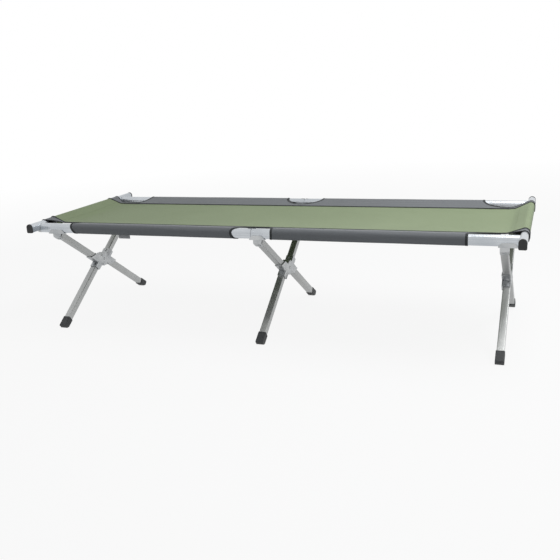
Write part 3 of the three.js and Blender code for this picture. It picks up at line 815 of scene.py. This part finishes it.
def sleevePoint(side, sign, run, x, end, lift=0.0):
    place = onOutline(run, lift)
    seamY, seamZ = seamPlace(x, end)
    y = railY - place.x - (clothCut["seamY"] - seamY)
    share = riseShare(x)
    z = seamZ + (place.y - clothCut["seamZ"]) * (1 - share) + lift * share
    return Vector((sign * x, y if side == "far" else -y, z))


def xAt(edge, run):
    for (a, xa), (b, xb) in zip(edge, edge[1:]):
        if a <= run <= b:
            return xa if b == a else xa + (xb - xa) * (run - a) / (b - a)
    return edge[0][1] if run < edge[0][0] else edge[-1][1]


def sleeve(side, end):
    cut = sleeveCut[(side, end)]
    sign = 1 if end == "right" else -1
    inner, outer = innerEdge(cut), outerEdge(cut, end)
    lengths = [r for r, _ in inner + outer] + outlineLengths
    runs = sorted({0.0, wholeGirth} | {round(v, 7) for v in lengths})
    columns = clothSteps["sleeve"]
    points, uvs = [], []
    for run in runs:
        start = 0.0 if run < inner[0][0] or run > inner[-1][0] else xAt(inner, run)
        stop = xAt(outer, run)
        for j in range(columns):
            share = j / (columns - 1)
            x = start + (stop - start) * share
            wander = pullLook["wander"] * math.sin(x * pullLook["along"] + len(side) + sign)
            pull = pullLook["height"] * math.sin(run * pullLook["across"] + wander)
            pull *= math.sin(math.pi * share)
            points.append(sleevePoint(side, sign, run, x, end, pull))
            uvs.append((sign * x, run))
    faces = gridFaces(len(runs), columns)
    if (sign > 0) != (side == "far"):
        faces = [tuple(reversed(f)) for f in faces]
    piece = addMesh(f"{side}_{end}_sleeve_cloth", points, faces, sleeveCloth, uvs)
    thicken(piece, clothCut["sleeveThickness"])
    return piece


tapeLook = {
    "width": 8 * mm,
    "thickness": 0.9 * mm,
    "lift": 0.75 * mm,
    "edgeLift": 0.6,       # share of the lift that is left at the tape's inner edge
    "tuck": 0.7 * mm,      # past the cloth's edge, where the tape folds down
    "stitchAt": 0.6,       # share of the width where the stitching runs
}


def tape(name, edge, side, sign, end, inwards):
    # binding folded over a cloth edge; inwards is +1 where the cloth lies towards larger x
    points, uvs, run = [], [], 0.0
    widths = (-tapeLook["tuck"], 0.0, 0.35, 0.7, 1.0)   # shares of the width, after the tuck in metres
    for i, (s, x) in enumerate(edge):
        a, b = edge[max(i - 1, 0)], edge[min(i + 1, len(edge) - 1)]
        along = Vector((b[0] - a[0], b[1] - a[1])).normalized()
        across = Vector((along.y, -along.x)) * -inwards
        run += (Vector(edge[i]) - Vector(edge[i - 1])).length if i else 0.0
        for w in widths:
            offset = across * (w if w < 0 else w * tapeLook["width"])
            lift = 0.0 if w < 0 else tapeLook["lift"] * (1 if w < 1 else tapeLook["edgeLift"])
            outX = max(x + offset.y, 0.0)
            points.append(sleevePoint(side, sign, s + offset.x, outX, end, lift))
            uvs.append((run, w * tapeLook["width"]))
    faces = gridFaces(len(edge), len(widths))
    if (sign > 0) != (side == "far") == (inwards > 0):
        faces = [tuple(reversed(f)) for f in faces]
    piece = addMesh(name, points, faces, bindingCloth, uvs)
    thicken(piece, tapeLook["thickness"])
    return piece


def cornerStrip(side, end):
    # the grey cloth that runs on beside the seam to the end bar, round it and back under
    sign = 1 if end == "right" else -1
    edgeCut = endCut[end]
    begin = edgeCut["scoopEnd"] - clothCut["stripOverlap"]
    columns = clothSteps["stripAcross"]
    steps = clothSteps["strip"]
    points, uvs, edge = [], [], []
    run = 0.0
    for station in hemStations([begin + (touchX - begin) * i / steps for i in range(steps + 1)]):
        x, height, back = station
        share = 1.0 if height is not None else riseShare(x)
        seamY = edgeCut["seamOnBar"] if height is not None else seamPlace(x, end)[0]
        width = edgeCut["strip"]
        width += (edgeCut["edgeOnBar"] - edgeCut["seamOnBar"] - width) * share
        row = []
        for j in range(columns):
            out = width * j / (columns - 1)
            spot = onOutline(out)
            sheetZ = seamPlace(x, end)[1] + (spot.y - clothCut["seamZ"]) * (1 - share)
            z = stationHeight(station, sheetZ)
            flatOut = railY - spot.x - clothCut["seamY"]
            y = seamY + out * share + flatOut * (1 - share)
            row.append(Vector((sign * x, y if side == "far" else -y, z)))
        if points:
            run += (row[0] - points[-columns]).length
        points += row
        uvs += [(sign * (begin + run), width * j / (columns - 1)) for j in range(columns)]
        edge.append(row[-1].copy())
    faces = gridFaces(len(points) // columns, columns)
    if (sign > 0) == (side == "far"):
        faces = [tuple(reversed(f)) for f in faces]
    piece = addMesh(f"{side}_{end}_corner_strip", points, faces, sleeveCloth, uvs)
    thicken(piece, clothCut["sleeveThickness"])
    return piece, edge


# piping and stitching, then the whole cloth

pipingLook = {"radius": 2.6 * mm, "lift": 1.1 * mm, "cornerRadius": 2.2 * mm}
stitchLook = {
    "length": 3.0 * mm,
    "gap": 1.6 * mm,
    "radius": 0.35 * mm,
    "skin": 0.1 * mm,
    "arch": ((-0.5, -1), (-0.3, 1), (0.3, 1), (0.5, -1)),   # (share of the length, below or above)
    "archHeight": 0.5,     # share of the radius
    "fromSeam": 6 * mm,
    "stopShort": 4,        # stations that the seams' stitching stops before the bar
    "hemReach": 0.95,      # share of the half width
}


def pipingPath(side, end):
    sign = 1 if end == "right" else -1
    lift = pipingLook["lift"]
    path = []
    for x, height, back in hemStations(sheetRun()):
        if back is not None:
            break
        seamY, seamZ = seamPlace(x, end)
        spot = Vector((x, 0, seamZ + lift))
        if height is not None:
            seamY = endCut[end]["seamOnBar"]
            centre = Vector((barX, 0, barCrownZ))
            spot = Vector((x, 0, height))
            spot += (spot - centre).normalized() * lift
        path.append(Vector((sign * spot.x, seamY if side == "far" else -seamY, spot.z)))
    return path


def stitches(name, paths, thread):
    # short thread loops lying on the cloth; a path is a list of (place, outward direction)
    points, faces = [], []
    step = stitchLook["length"] + stitchLook["gap"]
    r = stitchLook["radius"]
    for path in paths:
        travelled, target = 0.0, step / 2
        for (a, outA), (b, outB) in zip(path, path[1:]):
            gap = (b - a).length
            while target < travelled + gap:
                share = (target - travelled) / gap
                spot, outward = a.lerp(b, share), outA.lerp(outB, share).normalized()
                along = (b - a).normalized()
                side = along.cross(outward).normalized()
                base = len(points)
                for t, high in stitchLook["arch"]:
                    centre = spot + along * t * stitchLook["length"]
                    centre += outward * r * stitchLook["archHeight"] * high
                    points += [centre + side * r, centre + outward * r, centre - side * r]
                for i in range(len(stitchLook["arch"]) - 1):
                    for k in range(2):
                        low = base + i * 3 + k
                        faces.append((low, low + 1, low + 4, low + 3))
                target += step
            travelled += gap
    piece = addMesh(name, points, faces, thread)
    thicken(piece, stitchLook["skin"])
    return piece


def bedStitchPaths(end):   # beside both seams, and across the hem
    sign = 1 if end == "right" else -1
    skin = clothCut["bedThickness"] / 2
    up = Vector((0, 0, 1))
    paths = []
    for near in (-1, 1):
        path = []
        for x in sheetRun()[:-stitchLook["stopShort"]]:
            halfWidth = seamPlace(x, end)[0]
            across = near * (1 - stitchLook["fromSeam"] / halfWidth)
            z = sheetHeight(x, across, end) + skin
            path.append((Vector((sign * x, across * halfWidth, z)), up))
        paths.append(path)
    x = barX - clothCut["hemSeam"]
    halfWidth = seamPlace(x, end)[0]
    outward = Vector((-sign * math.sin(slopeAngle), 0, math.cos(slopeAngle)))
    hem = []
    steps, reach = clothSteps["stitchedHem"], stitchLook["hemReach"]
    for i in range(steps + 1):
        across = 2 * reach * i / steps - reach
        spot = Vector((sign * x, across * halfWidth, sheetHeight(x, across, end)))
        hem.append((spot + outward * skin, outward))
    return paths + [hem]


def tapeStitchPath(edge, side, sign, end, inwards):   # along the middle of a binding
    lift = tapeLook["lift"] + tapeLook["thickness"] / 2
    path = []
    for i, (run, x) in enumerate(edge):
        a, b = edge[max(i - 1, 0)], edge[min(i + 1, len(edge) - 1)]
        along = Vector((b[0] - a[0], b[1] - a[1])).normalized()
        offset = Vector((along.y, -along.x)) * -inwards * tapeLook["width"] * tapeLook["stitchAt"]
        spot = (side, sign, run + offset.x, x + offset.y, end)
        low, high = sleevePoint(*spot, lift), sleevePoint(*spot, lift + mm)
        path.append((low, (high - low).normalized()))
    return path


halves = {}
for end in ("left", "right"):
    piece, length = bedHalf(end)
    near = f"near_{end}"
    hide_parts(f"{end}_bed_panel", f"{end}_end_hem")
    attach(piece, near)
    seams = stitches(f"{end}_bed_stitching", bedStitchPaths(end), bedThread)
    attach(seams, near)
    halves[end] = (piece, seams, length)
print("bed cloth made")

for side in ("near", "far"):
    for end in ("left", "right"):
        body = f"{side}_{end}"
        sign = 1 if end == "right" else -1
        cut = sleeveCut[(side, end)]
        cover = sleeve(side, end)
        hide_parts(f"{side}_{end}_sleeve")
        strip, stripEdge = cornerStrip(side, end)
        inner, outer = innerEdge(cut), outerEdge(cut, end)
        threads = [
            tapeStitchPath(inner, side, sign, end, 1),
            tapeStitchPath(outer, side, sign, end, -1),
        ]
        pieces = [
            cover,
            strip,
            tape(f"{body}_middle_binding", inner, side, sign, end, 1),
            tape(f"{body}_outer_binding", outer, side, sign, end, -1),
            sweep(f"{body}_corner_binding", stripEdge, pipingLook["cornerRadius"], bindingCloth),
            sweep(f"{body}_piping", pipingPath(side, end), pipingLook["radius"], bindingCloth),
            stitches(f"{body}_binding_stitching", threads, tapeThread),
        ]
        for made in pieces:
            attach(made, body)
print("sleeves and bindings made")

# blank cloth tab sewn under the near left sleeve

tabLook = {
    "x": -541 * mm,
    "length": 50 * mm,
    "drop": 16 * mm,
    "thickness": 0.8 * mm,
    "bow": 0.8 * mm,
    "inFront": 4 * mm,     # of the rail's centre line
    "below": 1.2 * mm,     # the rail's underside
}


def hangingTab(look):
    columns, rows = 9, 7
    points, uvs = [], []
    for i in range(rows):
        down = look["drop"] * i / (rows - 1)
        for j in range(columns):
            share = j / (columns - 1) - 0.5
            bow = look["bow"] * math.sin(math.pi * i / (rows - 1)) * math.cos(math.pi * share)
            x = look["x"] + look["length"] * share
            y = -railY - look["inFront"] - bow
            points.append(Vector((x, y, railLow.z - look["below"] - down)))
            uvs.append((x, down))
    piece = addMesh("blank_tab", points, gridFaces(rows, columns), tabCloth, uvs)
    thicken(piece, look["thickness"])
    return piece


tab = hangingTab(tabLook)
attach(tab, "near_left")

# bed halves and their stitching each get a mesh of their own

for end in ("left", "right"):
    piece, seams, length = halves[end]
    for flattened in (piece, seams):
        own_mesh(flattened)

# studio: pale floor, pale room and one soft lamp

studioLook = {
    "floor": (200, 201, 202),
    "floorRoughness": 0.9,
    "floorReach": 14,        # metres from the middle to each side
    "floorDrop": 0.5 * mm,   # below the feet
    "floorLift": 0.9,        # how far camera and mirror views of the floor go to white
    "fadeFrom": 2.2,         # metres from the cot where the floor starts to fade into the backdrop
    "fadeTo": 5.0,
    "worldLight": 0.42,
    "softbox": {"spot": (1.8, 0.1, 2.95), "size": 2.2, "power": 76.0},
}


def makeFloor(look):
    desk = NodeDesk("paleFloor")
    path = desk.add("ShaderNodeLightPath")
    seen = desk.math("MAXIMUM", path.outputs["Is Camera Ray"], path.outputs["Is Glossy Ray"])
    seen = desk.math("MAXIMUM", seen, path.outputs["Is Transmission Ray"])
    place = desk.add("ShaderNodeTexCoord").outputs["Object"]
    away = desk.add("ShaderNodeVectorMath", {0: place}, operation="LENGTH").outputs["Value"]
    lift = desk.remap(away, look["fadeFrom"], look["fadeTo"], look["floorLift"], 1.0)
    share = desk.math("MULTIPLY", seen, lift)
    desk.finish(Base_Color=colour(*look["floor"]), Roughness=look["floorRoughness"])
    glow = desk.add("ShaderNodeEmission", {"Color": (1, 1, 1, 1), "Strength": 1.0})
    both = desk.add("ShaderNodeMixShader", {0: share, 1: desk.shader.outputs[0], 2: glow.outputs[0]})
    desk.tree.links.new(both.outputs[0], desk.tree.nodes["Material Output"].inputs["Surface"])
    reach = look["floorReach"]
    corners = [(reach * x, reach * y, -look["floorDrop"]) for x, y in ((-1, -1), (1, -1), (1, 1), (-1, 1))]
    floor = addMesh("floor", corners, [(0, 1, 2, 3)], desk.material)


def makeWorld(look):
    world = bpy.data.worlds.new("paleRoom")
    bpy.context.scene.world = world
    world.use_nodes = True
    tree = world.node_tree
    tree.nodes.clear()
    path = tree.nodes.new("ShaderNodeLightPath")
    share = path.outputs["Is Camera Ray"]
    for ray in ("Is Glossy Ray", "Is Transmission Ray"):
        either = tree.nodes.new("ShaderNodeMath")
        either.operation = "MAXIMUM"
        tree.links.new(share, either.inputs[0])
        tree.links.new(path.outputs[ray], either.inputs[1])
        share = either.outputs[0]
    mix = tree.nodes.new("ShaderNodeMixShader")
    tree.links.new(share, mix.inputs[0])
    for socket, strength in ((1, look["worldLight"]), (2, 1.0)):
        room = tree.nodes.new("ShaderNodeBackground")
        room.inputs["Color"].default_value = (1, 1, 1, 1)
        room.inputs["Strength"].default_value = strength
        tree.links.new(room.outputs[0], mix.inputs[socket])
    out = tree.nodes.new("ShaderNodeOutputWorld")
    tree.links.new(mix.outputs[0], out.inputs["Surface"])


def makeSoftbox(look):   # hangs level over the cot's right half
    data = bpy.data.lights.new("softbox", "AREA")
    data.shape = "SQUARE"
    data.size = look["size"]
    data.energy = look["power"]
    lamp = bpy.data.objects.new("softbox", data)
    lamp.location = look["spot"]
    lamp.visible_camera = False
    bpy.context.scene.collection.objects.link(lamp)


makeFloor(studioLook)
makeWorld(studioLook)
makeSoftbox(studioLook["softbox"])
bpy.context.scene.view_settings.view_transform = "Standard"
print("studio made")
